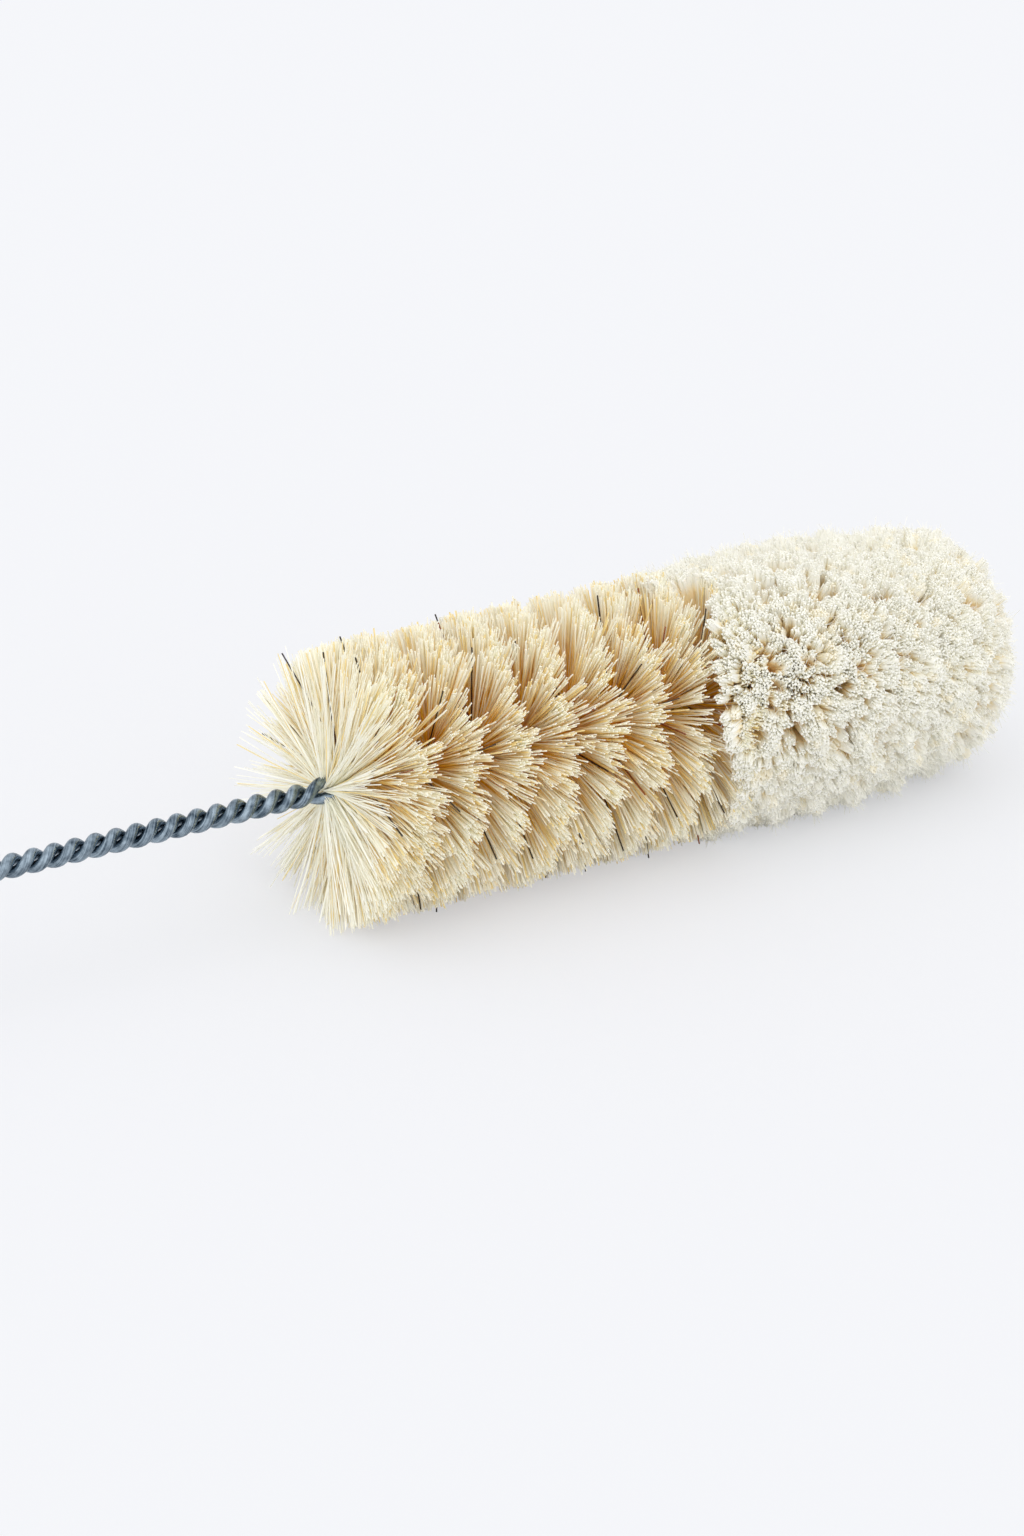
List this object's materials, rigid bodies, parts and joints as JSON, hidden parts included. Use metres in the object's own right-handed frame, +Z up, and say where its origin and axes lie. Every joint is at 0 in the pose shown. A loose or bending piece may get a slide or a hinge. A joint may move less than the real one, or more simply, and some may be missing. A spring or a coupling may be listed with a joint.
{
  "type": "bottle brush",
  "caption": "Bottle brush: twisted wire stem with a hanging eye, a cylindrical natural bristle head and a soft domed cotton-yarn tip, for cleaning bottles and tubes.",
  "frame": {"origin": "on the ground, below the middle of the brush's length, as it lies at rest on its head", "axes": "+X along the wire from the hanging eye to the cotton tip, +Z up"},
  "size_m": [0.3459, 0.0578, 0.0554],
  "materials": {
    "galvanised_wire": "galvanised",
    "bristle": "natural hair",
    "cotton": "cut soft yarn"
  },
  "bodies": {
    "root": {"twisted_wire": "galvanised_wire", "bristle_row_1": "bristle", "bristle_row_2": "bristle", "bristle_row_3": "bristle", "bristle_row_4": "bristle", "bristle_row_5": "bristle", "bristle_row_6": "bristle", "bristle_row_7": "bristle", "bristle_row_8": "bristle", "cotton_row_1": "cotton", "cotton_row_2": "cotton", "cotton_row_3": "cotton", "cotton_row_4": "cotton", "cotton_row_5": "cotton", "cotton_tip": "cotton"}
  },
  "joints": []
}
